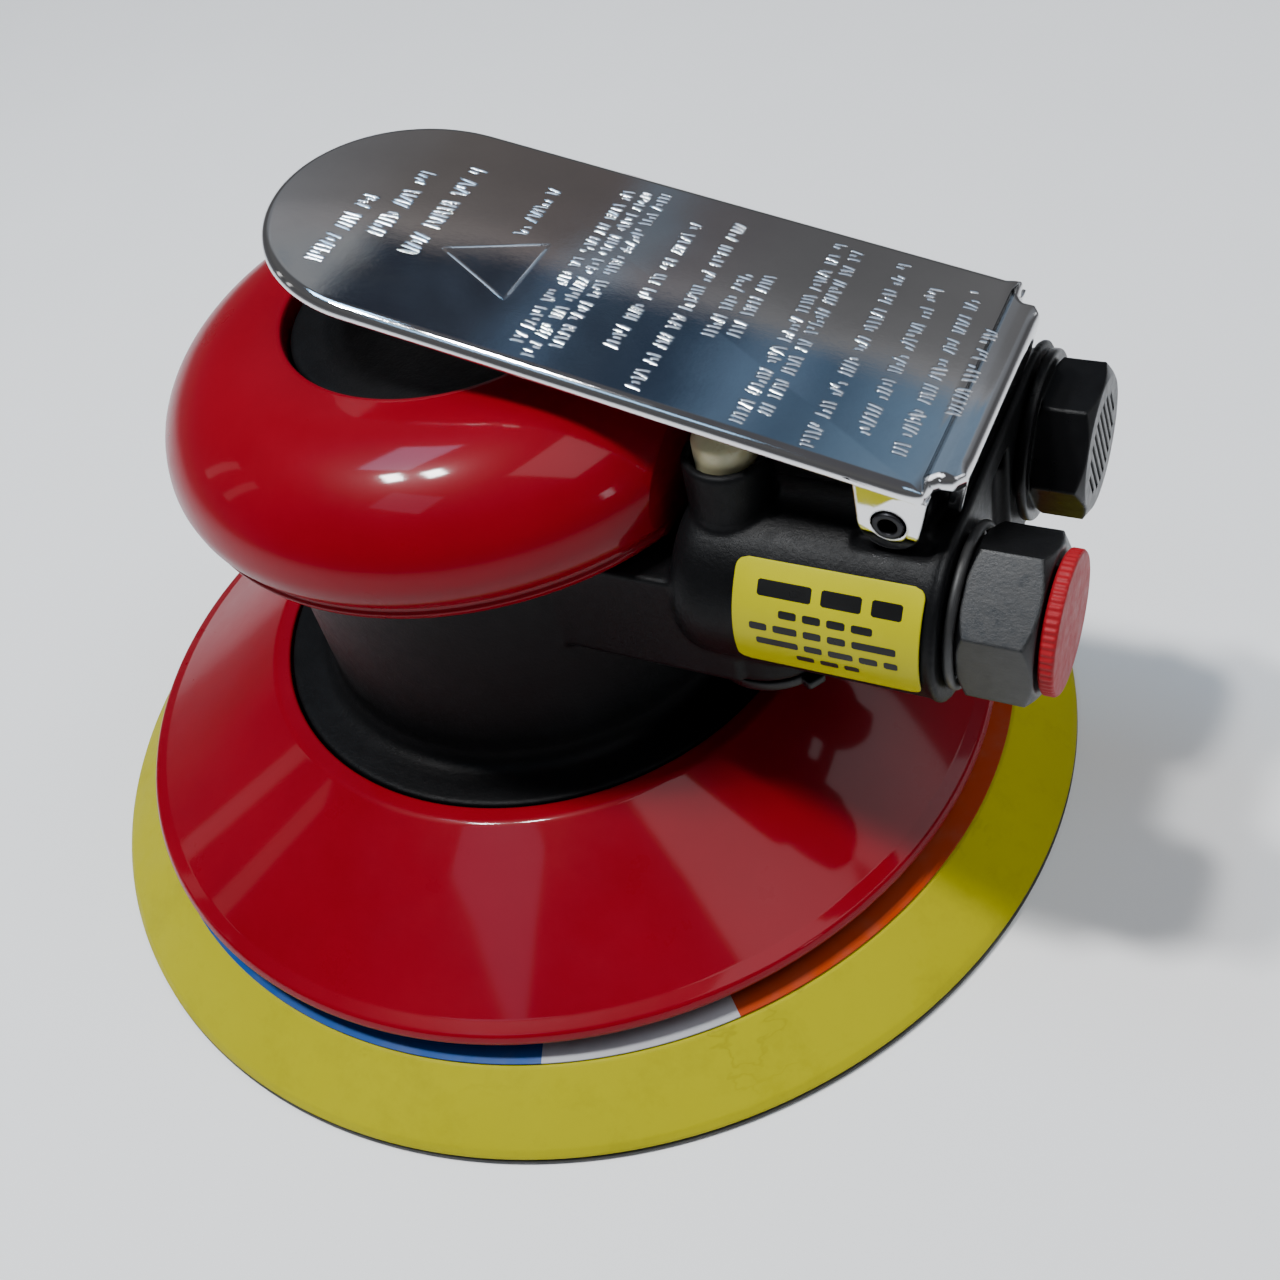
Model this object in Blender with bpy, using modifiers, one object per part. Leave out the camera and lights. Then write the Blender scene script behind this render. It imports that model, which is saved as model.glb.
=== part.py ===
"""Pneumatic palm orbital sander with a 150 mm pad, built as separate pieces.

Metres, +Z up, +X towards the air inlet.  The motor axis is the Z axis and the
sanding face lies in the plane z = 0.  Lengths below are written in millimetres.
"""

import math

import bmesh
import bpy
from mathutils import Euler, Matrix, Vector

MM = 0.001

# Driving dimensions, millimetres and degrees
PAD_R = 75.0                        # half of the nominal 150 mm pad
ORBIT = 1.2                         # offset between motor axis and pad axis (2.4 mm orbit)
PAD_X = PAD_Y = ORBIT / math.sqrt(2)
DECAL_R = 66.0
SKIRT_R = 64.9
FLANGE_R, FLANGE_Z = 38.1, 27.2
NECK_R = 31.0
CAP_R, CAP_Z = 20.2, 79.0
GRIP_R, GRIP_TOP, GRIP_FOOT = 39.8, 80.6, 62.8
BORE_R = 24.8                       # motor bore of the housing
ROTOR_R, LINER_R, LINER_BORE, LINER_SHIFT = 17.0, 24.4, 19.6, 2.1
PORT_Y, PORT_Z = 14.5, 58.0         # air inlet at -Y, exhaust at +Y
BARREL_R = 10.8
BACK_X = 68.3                       # rear face of the housing
STEM_X = 42.5
PIN_X, PIN_Z = 61.9, 72.0
LEVER_TILT = math.radians(12.1)
LEVER_HALF, LEVER_T = 18.5, 1.6
LEVER_UNDER = 3.9                   # pin axis to lever underside
LEVER_NOSE = 64.5                   # pin axis to centre of the round nose
LEVER_BACK = 6.2                    # pin axis to the folded rear edge
REG_X = 44.5
TIP_X, TIP_RISE = 54.1, 5.0          # rocking edge of the tip valve

TURN_X = (0.0, math.pi / 2, 0.0)    # lays a turned piece along +X
TURN_Y = (-math.pi / 2, 0.0, 0.0)   # lays a turned piece along +Y

PALETTE = {
    "yellow_foam": ((0.83, 0.74, 0.03), 0.75, 0.0),
    "black_vinyl": ((0.05, 0.05, 0.05), 0.7, 0.0),
    "printed_disc": ((0.8, 0.16, 0.03), 0.4, 0.0),
    "glass_nylon": ((0.12, 0.12, 0.12), 0.6, 0.0),
    "red_rubber": ((0.55, 0.015, 0.03), 0.25, 0.0),
    "black_composite": ((0.025, 0.026, 0.028), 0.5, 0.0),
    "chrome": ((0.78, 0.79, 0.8), 0.12, 1.0),
    "steel": ((0.55, 0.56, 0.57), 0.3, 1.0),
    "dark_steel": ((0.12, 0.12, 0.125), 0.35, 1.0),
    "brass": ((0.72, 0.55, 0.25), 0.3, 1.0),
    "aluminium": ((0.7, 0.7, 0.71), 0.35, 1.0),
    "black_anodised": ((0.03, 0.03, 0.033), 0.35, 0.6),
    "cream_plastic": ((0.75, 0.7, 0.5), 0.4, 0.0),
    "red_plastic": ((0.6, 0.02, 0.03), 0.4, 0.0),
    "nitrile": ((0.03, 0.03, 0.03), 0.55, 0.0),
    "phenolic": ((0.3, 0.17, 0.08), 0.6, 0.0),
    "felt": ((0.6, 0.58, 0.52), 0.95, 0.0),
    "label_yellow": ((0.85, 0.78, 0.02), 0.35, 0.0),
}


def clear_scene():
    for obj in list(bpy.data.objects):
        bpy.data.objects.remove(obj, do_unlink=True)
    for name in ("orbital_sander", "cutters"):
        bpy.context.scene.collection.children.link(bpy.data.collections.new(name))


def paint(obj, key):
    colour, rough, metal = PALETTE[key]
    mat = bpy.data.materials.new(obj.name + "_" + key)
    mat.use_nodes = True
    shader = mat.node_tree.nodes["Principled BSDF"]
    shader.inputs["Base Color"].default_value = (*colour, 1.0)
    shader.inputs["Roughness"].default_value = rough
    shader.inputs["Metallic"].default_value = metal
    obj.data.materials.clear()
    obj.data.materials.append(mat)


def place(obj, key, at=(0, 0, 0), turn=(0, 0, 0)):
    """Puts an object in the scene: a visible piece, or a tool when key is None."""
    obj.location = Vector(at) * MM
    obj.rotation_euler = turn
    if key is None:
        bpy.data.collections["cutters"].objects.link(obj)
        obj.hide_render = True
        obj.display_type = "WIRE"
    else:
        bpy.data.collections["orbital_sander"].objects.link(obj)
        paint(obj, key)
    return obj


def turned(name, profile, key=None, at=(0, 0, 0), turn=(0, 0, 0), steps=36, smooth=True, seam=0.0):
    """Solid of revolution; the profile (r, z) runs down the outer side, seam sets where it starts."""
    mesh = bpy.data.meshes.new(name)
    count = len(profile)
    edges = [(i, i + 1) for i in range(count - 1)]
    if profile[0][0] > 0:
        edges.append((count - 1, 0))
    across, along = math.cos(seam) * MM, math.sin(seam) * MM
    mesh.from_pydata([(r * across, r * along, z * MM) for r, z in profile], edges, [])
    obj = place(bpy.data.objects.new(name, mesh), key, at, turn)
    mod = obj.modifiers.new("turn", "SCREW")
    mod.angle = 2 * math.pi
    mod.steps = mod.render_steps = steps
    mod.use_merge_vertices = True
    mod.merge_threshold = 0.00001
    mod.use_smooth_shade = smooth
    return obj


def drum(name, radius, low, high, key=None, at=(0, 0, 0), turn=(0, 0, 0), steps=32, bore=0.0, seam=0.0):
    """Plain cylinder between two heights, or a ring when it has a bore."""
    if bore:
        profile = [(radius, high), (radius, low), (bore, low), (bore, high)]
    else:
        profile = [(0, high), (radius, high), (radius, low), (0, low)]
    return turned(name, profile, key, at, turn, steps, seam=seam)


def torus(name, major, minor, key, at, turn=(0, 0, 0), steps=28):
    arc = [math.radians(90 - 45 * i) for i in range(8)]
    profile = [(major + minor * math.cos(a), minor * math.sin(a)) for a in arc]
    return turned(name, profile, key, at, turn, steps)


def boxes(name, blocks, key=None, at=(0, 0, 0), turn=(0, 0, 0)):
    """Blocks given as (size, centre) or (size, centre, rotation), in one mesh."""
    bm = bmesh.new()
    for block in blocks:
        size, centre = block[0], block[1]
        spin = Euler(block[2]).to_matrix().to_4x4() if len(block) > 2 else Matrix()
        matrix = Matrix.Translation(Vector(centre) * MM) @ spin @ Matrix.Diagonal((*(Vector(size) * MM), 1))
        bmesh.ops.create_cube(bm, size=1.0, matrix=matrix)
    mesh = bpy.data.meshes.new(name)
    bm.to_mesh(mesh)
    bm.free()
    return place(bpy.data.objects.new(name, mesh), key, at, turn)


def slab(name, outline, low, high, key=None, at=(0, 0, 0), turn=(0, 0, 0)):
    """Flat outline thickened between two heights."""
    curve = bpy.data.curves.new(name, "CURVE")
    curve.dimensions = "2D"
    curve.fill_mode = "BOTH"
    curve.extrude = (high - low) / 2 * MM
    line = curve.splines.new("POLY")
    line.points.add(len(outline) - 1)
    for point, (x, y) in zip(line.points, outline):
        point.co = (x * MM, y * MM, 0, 1)
    line.use_cyclic_u = True
    rough = bpy.data.objects.new(name + "_outline", curve)
    mesh = bpy.data.meshes.new_from_object(rough)
    bpy.data.objects.remove(rough, do_unlink=True)
    bm = bmesh.new()
    bm.from_mesh(mesh)
    bmesh.ops.remove_doubles(bm, verts=bm.verts, dist=1e-7)
    bmesh.ops.translate(bm, verts=bm.verts, vec=(0, 0, (low + high) / 2 * MM))
    bmesh.ops.recalc_face_normals(bm, faces=bm.faces)
    bm.to_mesh(mesh)
    bm.free()
    return place(bpy.data.objects.new(name, mesh), key, at, turn)


def arc(cx, cy, radius, start, end, count):
    """Points on a circular arc, angles in degrees."""
    steps = [math.radians(start + (end - start) * i / count) for i in range(count + 1)]
    return [(cx + radius * math.cos(a), cy + radius * math.sin(a)) for a in steps]


def carve(obj, operation, *tools):
    for tool in tools:
        mod = obj.modifiers.new(tool.name, "BOOLEAN")
        mod.operation = operation
        mod.solver = "EXACT"
        mod.object = tool
    return obj


def soften(obj, width, segments=2, angle=40):
    mod = obj.modifiers.new("soft_edges", "BEVEL")
    mod.width = width * MM
    mod.segments = segments
    mod.limit_method = "ANGLE"
    mod.angle_limit = math.radians(angle)
    return obj


# ---------------------------------------------------------------- pad

def pad():
    at = (PAD_X, PAD_Y, 0)
    edge = PAD_R
    turned("pad_vinyl_face",
           [(0, 0.8), (edge - 0.2, 0.8), (edge, 0.6), (edge, 0.2), (edge - 0.3, 0), (0, 0)],
           "black_vinyl", at, steps=60)
    turned("pad_foam",
           [(0, 4.6), (56.3, 4.6), (56.3, 9.0), (DECAL_R + 0.2, 9.0), (DECAL_R + 0.6, 8.8),
            (edge - 1.0, 2.4), (edge - 0.1, 1.5), (edge - 0.2, 1.0), (0, 1.0)],
           "yellow_foam", at, steps=60)
    turned("pad_backing_plate",
           [(11, 10.6), (11, 8.7), (56, 8.7), (56, 4.9), (8.3, 4.9), (8.3, 7.1), (4.3, 7.1), (4.3, 10.6)],
           "glass_nylon", at, steps=36)
    turned("pad_decal",
           [(DECAL_R, 9.45), (DECAL_R, 9.2), (11.6, 9.2), (11.6, 9.45)], "printed_disc", at, steps=60)
    turned("pad_stud",
           [(0, 21.6), (3.4, 21.6), (3.9, 21.0), (3.9, 6.8), (7.9, 6.8), (7.9, 4.95), (0, 4.95)],
           "steel", at, steps=20)
    spindle = turned("spindle",
                     [(0, 28.5), (4.4, 28.5), (4.8, 28.1), (4.8, 27.7), (4.1, 27.7), (4.1, 26.5),
                      (4.8, 26.5), (4.8, 17.0), (6.6, 17.0), (6.6, 15.6), (9, 15.6), (9, 10.9),
                      (4.3, 10.9), (4.3, 22.2), (0, 22.2)],
                     "dark_steel", at, steps=28)
    flats = boxes("spindle_flats", [((24, 6, 4.9), (0, s * 10.2, 12.9)) for s in (-1, 1)], at=at)
    carve(spindle, "DIFFERENCE", flats)
    clip = drum("spindle_snap_ring", 6.0, 26.7, 27.5, "steel", at, steps=28, bore=4.4)
    carve(clip, "DIFFERENCE", boxes("snap_ring_gap", [((4, 2, 3), (5.5, 0, 27.1))], at=at))
    bearing("spindle_bearing", 12.0, 5.1, 17.4, 26.2, 1.45, at)


def bearing(name, outer, inner, low, high, ball, at=(0, 0, 0)):
    """Ball bearing as an outer ring, an inner ring and a cage with its balls."""
    pitch = (outer + inner) / 2
    middle = (low + high) / 2
    gap = ball + 0.25
    drum(name + "_outer_ring", outer, low, high, "steel", at, steps=32, bore=pitch + gap)
    drum(name + "_inner_ring", pitch - gap, low, high, "steel", at, steps=28, bore=inner)
    bm = bmesh.new()
    for i in range(7):
        a = 2 * math.pi * i / 7
        spot = Matrix.Translation(Vector((pitch * math.cos(a), pitch * math.sin(a), middle)) * MM)
        bmesh.ops.create_uvsphere(bm, u_segments=7, v_segments=5, radius=ball * MM, matrix=spot)
    mesh = bpy.data.meshes.new(name + "_balls")
    bm.to_mesh(mesh)
    bm.free()
    balls = place(bpy.data.objects.new(name + "_balls", mesh), None, at)
    cage = drum(name + "_cage", pitch + 0.5, middle - 0.8, middle + 0.8, "brass", at, steps=24,
                bore=pitch - 0.5)
    carve(cage, "UNION", balls)


# ---------------------------------------------------------------- motor

def shaft():
    """Motor shaft with the eccentric cup and its balancing lobe in one forging."""
    body = turned("shaft_balancer",
                  [(0, 74.2), (3.5, 74.2), (4.0, 73.7), (4.0, 64.9), (6.0, 64.3), (6.0, 34.3),
                   (8.4, 34.3), (8.4, 29.0), (0, 29.0)],
                  "steel", steps=32)
    cup = turned("balancer_cup",
                 [(0, 30.2), (15.7, 30.2), (16.5, 29.4), (16.5, 17.0), (0, 17.0)],
                 at=(PAD_X, PAD_Y, 0), steps=40)
    lobe = slab("balancer_lobe", arc(0, 0, 27, 150, 300, 20) + [(6, -14), (-14, 6)], 17.4, 23.6)
    pocket = turned("balancer_pocket",
                    [(0, 28.9), (10.5, 28.9), (10.5, 26.5), (12.3, 26.5), (12.3, 15.0), (0, 15.0)],
                    at=(PAD_X, PAD_Y, 0), steps=40)
    keyway = boxes("shaft_keyway", [((3, 2.4, 9), (5.9, 0, 54.0))])
    carve(body, "UNION", cup, lobe)
    carve(body, "DIFFERENCE", pocket, keyway)
    soften(boxes("rotor_key", [((2.6, 1.9, 8.4), (6.1, 0, 54.0))], "dark_steel"), 0.3, 1)


def rotor():
    body = drum("rotor", ROTOR_R, 43.7, 64.5, "steel", steps=50, bore=6.3)
    angles = [math.radians(36 + 72 * i) for i in range(5)]
    slots = [((12, 2.2, 30), (14.6 * math.cos(a), 14.6 * math.sin(a), 54), (0, 0, a)) for a in angles]
    carve(body, "DIFFERENCE", boxes("rotor_slots", slots),
          boxes("rotor_keyway", [((4, 2.4, 30), (6.0, 0, 54))]))
    for i, a in enumerate(angles):
        mid = 12.8
        boxes(f"rotor_vane_{i + 1}", [((7.8, 1.7, 20.4), (mid, 0, 54.1))], "phenolic", turn=(0, 0, a))


def motor_case():
    """The stack that stays still: liner, end plates, bearings, washers, lock ring."""
    liner = drum("motor_liner", LINER_R, 43.5, 64.7, "steel", steps=48)
    bore = drum("liner_bore", LINER_BORE, 40, 70, at=(0, LINER_SHIFT, 0), steps=48)
    feed = boxes("liner_ports", [((8, 5, 6), (17.5, -16, 58), (0, 0, math.radians(-42))),
                                 ((8, 5, 8), (17.5, 16.5, 57), (0, 0, math.radians(43)))])
    dowel_hole = drum("liner_dowel_hole", 1.3, 59.5, 70, at=(0, -21.3, 0), steps=12)
    carve(liner, "DIFFERENCE", bore, feed, dowel_hole)
    turned("lower_end_plate",
           [(LINER_R, 43.2), (LINER_R, 34.5), (14.2, 34.5), (14.2, 41.6), (7.2, 41.6), (7.2, 43.2)],
           "aluminium", steps=40)
    upper = turned("upper_end_plate",
                   [(13.6, 73.8), (14.0, 73.4), (14.0, 68.2), (LINER_R, 68.2), (LINER_R, 65.0),
                    (5.2, 65.0), (5.2, 66.5), (11.2, 66.5), (11.2, 73.8)], "aluminium", steps=36)
    carve(upper, "DIFFERENCE", drum("plate_dowel_hole", 1.3, 60, 69, at=(0, -21.3, 0), steps=12))
    drum("motor_dowel", 1.0, 60.2, 67.8, "steel", (0, -21.3, 0), steps=12)
    bearing("lower_bearing", 14.0, 6.3, 34.6, 41.3, 2.0)
    bearing("upper_bearing", 11.0, 4.3, 66.8, 73.2, 1.7)
    drum("wave_washer", 13.6, 74.2, 74.8, "steel", steps=32, bore=10.4)
    ring = drum("motor_lock_ring", 25.7, 30.6, 34.1, "dark_steel", steps=48, bore=15.5)
    notches = [((5, 4, 3), (24.5 * math.cos(a), 24.5 * math.sin(a), 30.6), (0, 0, a))
               for a in (0, math.pi / 2, math.pi, 3 * math.pi / 2)]
    carve(ring, "DIFFERENCE", boxes("lock_ring_notches", notches))


# ---------------------------------------------------------------- housing

def housing():
    body = turned("housing",
                  [(0, CAP_Z), (CAP_R - 0.6, CAP_Z), (CAP_R, CAP_Z - 0.6), (CAP_R, 76.8), (26.5, 75.4),
                   (29.8, 73.0), (NECK_R, 69.5), (NECK_R, 33), (NECK_R + 0.8, 29.6),
                   (NECK_R + 3, 27.7), (NECK_R + 4.6, FLANGE_Z), (FLANGE_R - 0.3, FLANGE_Z),
                   (FLANGE_R, FLANGE_Z - 0.3), (FLANGE_R, 24.2), (40.5, 24.2), (40.5, 21.8), (0, 21.8)],
                  "black_composite", steps=56)
    inlet = (0, -PORT_Y, PORT_Z)
    outlet = (0, PORT_Y, PORT_Z)
    stem = (STEM_X, -PORT_Y, 0)
    regulator = (REG_X, -PORT_Y, 0)
    add = [
        turned("barrel", [(0, 67.8), (BARREL_R, 67.8), (BARREL_R, 41.2), (BARREL_R - 0.9, 38.6),
                          (BARREL_R - 3.2, 36.6), (0, 36.2)], at=inlet, turn=TURN_X),
        turned("exhaust_barrel", [(0, 67.9), (10.0, 67.9), (10.0, 41), (9.1, 38.4), (7.0, 36.8), (0, 36.4)],
               at=outlet, turn=TURN_X),
        boxes("port_roots", [((30, 17.8, 14.9), (29, s * PORT_Y, 54.45)) for s in (-1, 1)]),
        slab("back_plate", arc(0, -PORT_Y, 11.1, -180, 0, 14) + arc(0, PORT_Y, 11.1, 0, 180, 14),
             BACK_X - 1.0, BACK_X, at=(0, 0, PORT_Z), turn=TURN_X),
        boxes("bridge", [((40.1, 20, 9.8), (47.45, 0, 57.4))]),
        turned("stem_boss", [(0, 75.2), (4.6, 75.2), (5.0, 74.8), (5.0, 60), (0, 60)], at=stem, steps=24, seam=0.07),
        drum("pin_boss", 3.5, -16.3, 16.3, at=(PIN_X, 0, PIN_Z), turn=TURN_Y, steps=20),
        boxes("pin_pedestal", [((6.2, 32.2, 14), (PIN_X, 0, 65.0))]),
        turned("regulator_boss", [(0, 54), (8.2, 54), (8.2, 46.9), (0, 46.9)], at=regulator, steps=24, seam=0.07),
    ]
    carve(body, "UNION", *add)
    cut = [
        turned("motor_bore", [(0, 75.2), (BORE_R, 75.2), (BORE_R, 34.3), (26.1, 34.3), (26.1, 30.2),
                              (30.2, 30.2), (30.2, 20), (0, 20)], steps=48),
        turned("inlet_bore", [(0, 72), (8.0, 72), (8.0, 52.4), (6.5, 52.4), (6.5, 38), (3.4, 38),
                              (3.4, 16), (0, 16)], at=inlet, turn=TURN_X, steps=28),
        turned("exhaust_bore", [(0, 72), (7.5, 72), (7.5, 41), (3.4, 41), (3.4, 16), (0, 16)], at=outlet,
               turn=TURN_X, steps=28),
        drum("stem_bore", 3.85, 60, 80, at=stem, steps=20, seam=0.05),
        turned("regulator_bore", [(0, 56), (1.8, 56), (1.8, 50.8), (4.3, 50.8), (4.3, 44), (0, 44)],
               at=regulator, steps=20, seam=0.05),
        drum("pin_bore", 2.0, -20, 20, at=(PIN_X, 0, PIN_Z), turn=TURN_Y, steps=14, seam=0.11),
        boxes("back_pocket", [((3, 6.4, 15), (BACK_X, 0, PORT_Z))]),
        boxes("ear_reliefs", [((9.0, 3.2, 4), (PIN_X - 0.1, s * 18.05, 69.9)) for s in (-1, 1)]),
    ]
    carve(body, "DIFFERENCE", *cut)


def skirt():
    turned("skirt",
           [(38.5, 27.3), (40.4, 27.1), (43, 25.9), (52, 21.0), (62.6, 15.1), (64.4, 14.1),
            (SKIRT_R, 13.1), (64.3, 12.1), (63.2, 12.1), (51, 18.8), (43, 23.2), (41.2, 24.5),
            (38.5, 24.5)],
           "red_rubber", steps=60)


def grip():
    body = turned("grip",
                  [(20.6, GRIP_TOP), (25, 80.4), (30, 79.6), (34, 77.9), (37.0, 75.6), (39.0, 72.4),
                   (GRIP_R, 69.0), (39.5, 66.4), (38.6, 65.1), (38.3, 64.4), (38.6, 63.7), (37.9, GRIP_FOOT),
                   (33.4, GRIP_FOOT), (31.4, 63.4), (31.4, 69.6), (30.1, 73.3), (26.7, 75.8),
                   (20.6, 77.1)],
                  "red_rubber", steps=56)
    carve(body, "DIFFERENCE", boxes("grip_rear_opening", [((40, 54, 40), (54.5, 0, 66))]))


# ---------------------------------------------------------------- lever and valve

def lever():
    at, turn = (PIN_X, 0, PIN_Z), (0, LEVER_TILT, 0)
    low, high = LEVER_UNDER, LEVER_UNDER + LEVER_T
    half, inner = LEVER_HALF, LEVER_HALF - LEVER_T
    nose = arc(-LEVER_NOSE, 0, half, 90, 270, 28)
    corner = [(3.0, half), (3.4, 16.2), (3.9, 15.6), (5.2, 15.2), (LEVER_BACK, 13.9)]
    outline = nose + [(x, -y) for x, y in corner] + corner[::-1]
    plate = slab("throttle_lever", outline, low, high, "chrome", at, turn)
    soften(plate, 0.5, 2)
    ear_line = [(-4.6, high - 0.7), (-3.6, -0.9)] + arc(0, 0, 3.5, 195, 345, 8) + [(3.4, high - 0.7)]
    side = Matrix.Rotation(math.pi / 2, 3, "X")
    ears = []
    for sign, low_y in ((-1, inner), (1, -half)):
        ear = slab(f"lever_ear_{'near' if sign < 0 else 'far'}", ear_line, low_y, low_y + LEVER_T, at=at,
                   turn=(Matrix.Rotation(LEVER_TILT, 3, "Y") @ side).to_euler())
        ears.append(ear)
    flange = boxes("lever_rear_flange", [((LEVER_T, 27.2, 5.6), (LEVER_BACK - LEVER_T / 2, 0, high - 3.3))],
                   at=at, turn=turn)
    hole = drum("lever_pin_hole", 1.95, -25, 25, at=at, turn=TURN_Y, steps=16)
    carve(plate, "UNION", *ears, flange)
    carve(plate, "DIFFERENCE", hole)
    drum("lever_pin", 1.7, -18.9, 18.9, "dark_steel", at, TURN_Y, steps=16, bore=1.0)


def valve():
    stem_at = (STEM_X, -PORT_Y, 0)
    axis = (0, -PORT_Y, PORT_Z)
    stem = turned("valve_stem",
                  [(0, 79.3), (1.8, 79.0), (2.9, 78.2), (3.5, 76.9), (3.5, 70.2), (2.0, 69.7),
                   (2.0, 54.8), (0, 54.8)], "cream_plastic", stem_at, steps=20)
    carve(stem, "DIFFERENCE", drum("stem_eye", 1.25, 38, 47, at=axis, turn=TURN_X, steps=12))
    drum("stem_bushing", 3.6, 64.3, 66.8, "brass", stem_at, steps=20, bore=2.3)
    torus("stem_o_ring", 2.8, 0.45, "nitrile", (STEM_X, -PORT_Y, 67.4), steps=16)
    drum("valve_seat", 7.6, 52.6, 54.0, "nitrile", axis, TURN_X, steps=24, bore=3.5)
    pivot = bpy.data.objects.new("tip_valve_pivot", None)
    bpy.data.collections["orbital_sander"].objects.link(pivot)
    pivot.location = Vector((TIP_X, -PORT_Y, PORT_Z + TIP_RISE)) * MM
    tip = turned("tip_valve",
                 [(0, 57.2), (1.6, 57.2), (1.6, 55.7), (5.0, 55.7), (5.0, 54.3), (0.8, 54.3), (0.8, 40.6),
                  (0, 40.6)], "brass", (-TIP_X, 0, -TIP_RISE), TURN_X, steps=20)
    tip.parent = pivot
    coil("valve_spring", 58.9, 65.4, 2.6, 5.0, 0.4, 4.5, axis)


def coil(name, start, end, first, last, wire, turns, at):
    """Conical spring of round wire along +X, tips filled."""
    curve = bpy.data.curves.new(name, "CURVE")
    curve.dimensions = "3D"
    curve.bevel_depth = wire * MM
    curve.bevel_resolution = 1
    curve.use_fill_caps = True
    count = int(turns * 12)
    line = curve.splines.new("POLY")
    line.points.add(count)
    for i, point in enumerate(line.points):
        t = i / count
        a = 2 * math.pi * turns * t
        r = first + (last - first) * t
        x = start + (end - start) * t
        point.co = (x * MM, r * math.cos(a) * MM, r * math.sin(a) * MM, 1)
    place(bpy.data.objects.new(name, curve), "steel", at)


def inlet():
    axis = (0, -PORT_Y, PORT_Z)
    bush = turned("inlet_bushing",
                  [(7.7, 74), (7.7, 57.2), (5.8, 57.2), (5.8, 65.9), (3.8, 65.9), (3.8, 66.8), (6.2, 66.8),
                   (6.2, 74)], "black_anodised", axis, TURN_X, steps=32)
    hexes = turned("bushing_hex",
                   [(0, 77.9), (7.9, 77.9), (9.7, 77.0), (9.7, 70.4), (8.6, 69.8), (0, 69.8)],
                   at=(0, -PORT_Y, PORT_Z), turn=TURN_X, steps=6, smooth=False)
    hexes.rotation_euler = (Matrix.Rotation(math.radians(5), 3, "X")
                            @ Matrix.Rotation(math.pi / 2, 3, "Y")).to_euler()
    carve(bush, "UNION", hexes)
    carve(bush, "DIFFERENCE", drum("bushing_mouth", 6.2, 66.9, 80, at=axis, turn=TURN_X, steps=32))
    torus("inlet_o_ring", 8.85, 0.6, "nitrile", (69.05, -PORT_Y, PORT_Z), TURN_X, 32)
    screen = drum("inlet_screen", 5.9, 67.1, 67.7, "brass", axis, TURN_X, steps=24)
    holes = bmesh.new()
    spots = [(0, 0)] + [(3.5 * math.cos(math.radians(60 * i)), 3.5 * math.sin(math.radians(60 * i)))
                        for i in range(6)]
    for x, y in spots:
        bmesh.ops.create_cone(holes, cap_ends=True, segments=8, radius1=1.1 * MM, radius2=1.1 * MM,
                              depth=3 * MM, matrix=Matrix.Translation(Vector((x, y, 67.4)) * MM))
    mesh = bpy.data.meshes.new("screen_holes")
    holes.to_mesh(mesh)
    holes.free()
    carve(screen, "DIFFERENCE", place(bpy.data.objects.new("screen_holes", mesh), None, axis, TURN_X))
    turned("inlet_plug",
           [(0, 79.9), (7.5, 79.9), (8.0, 79.5), (8.0, 78.6), (7.6, 78.2), (5.7, 78.2), (5.7, 69.2),
            (0, 69.2)], "red_plastic", axis, TURN_X, steps=36)


def regulator():
    at = (REG_X, -PORT_Y, 0)
    knob = turned("speed_regulator",
                  [(0, 50.3), (4.0, 50.3), (4.0, 49.4), (3.3, 49.4), (3.3, 48.2), (4.0, 48.2),
                   (4.0, 46.5), (7.9, 46.5), (7.9, 45.3), (7.5, 44.9), (0, 44.9)], "black_composite", at,
                  steps=28)
    tab = slab("regulator_tab", [(5, -1.6), (9.2, -1.2), (9.2, 1.2), (5, 1.6)], 45.1, 46.3, at=at,
               turn=(0, 0, math.radians(-35)))
    carve(knob, "UNION", tab)
    torus("regulator_o_ring", 3.72, 0.35, "nitrile", (REG_X, -PORT_Y, 48.8), steps=20)


def muffler():
    axis = (0, PORT_Y, PORT_Z)
    body = turned("muffler_body",
                  [(7.2, 72), (7.2, 60.5), (5.9, 60.5), (5.9, 72)], "black_anodised", axis, TURN_X, steps=32)
    flange = turned("muffler_flange", [(10.3, 69.8), (10.3, 68.6), (6.2, 68.6), (6.2, 69.8)],
                    at=axis, turn=TURN_X, steps=32)
    head = turned("muffler_hex", [(0, 76.1), (8.0, 76.1), (9.4, 75.1), (9.4, 69.6), (0, 69.6)],
                  at=axis, turn=(0, 0, 0), steps=6, smooth=False)
    head.rotation_euler = (Matrix.Rotation(math.radians(90), 3, "X")
                           @ Matrix.Rotation(math.pi / 2, 3, "Y")).to_euler()
    chamber = drum("muffler_chamber", 5.9, 60, 74.4, at=axis, turn=TURN_X, steps=32)
    slots = [((6, 1.1, 2 * math.sqrt(30 - k * k * 4.4)), (75.6, k * 2.1, 0)) for k in (-2, -1, 0, 1, 2)]
    grille = boxes("muffler_grille", slots, at=axis, turn=(math.radians(28), 0, 0))
    carve(body, "UNION", flange, head)
    carve(body, "DIFFERENCE", chamber, grille)
    drum("muffler_felt", 5.5, 61.0, 74.0, "felt", axis, TURN_X, steps=24)


def label():
    axis = (0, -PORT_Y, PORT_Z)
    patch = drum("barrel_label", BARREL_R + 0.35, 45.5, 66.8, "label_yellow", axis, TURN_X, steps=56,
                 bore=BARREL_R + 0.12)
    reach = [(-30 * math.cos(a), 30 * math.sin(a)) for a in map(math.radians, (-20, 16, 52.5))]
    wedge = slab("label_wedge", [(0, 0)] + reach, 44, 70, at=axis,
                 turn=(math.pi / 2, 0, math.pi / 2))
    carve(patch, "INTERSECT", wedge)


def main():
    clear_scene()
    pad()
    shaft()
    rotor()
    motor_case()
    housing()
    skirt()
    grip()
    lever()
    valve()
    inlet()
    regulator()
    muffler()
    label()


main()
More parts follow.
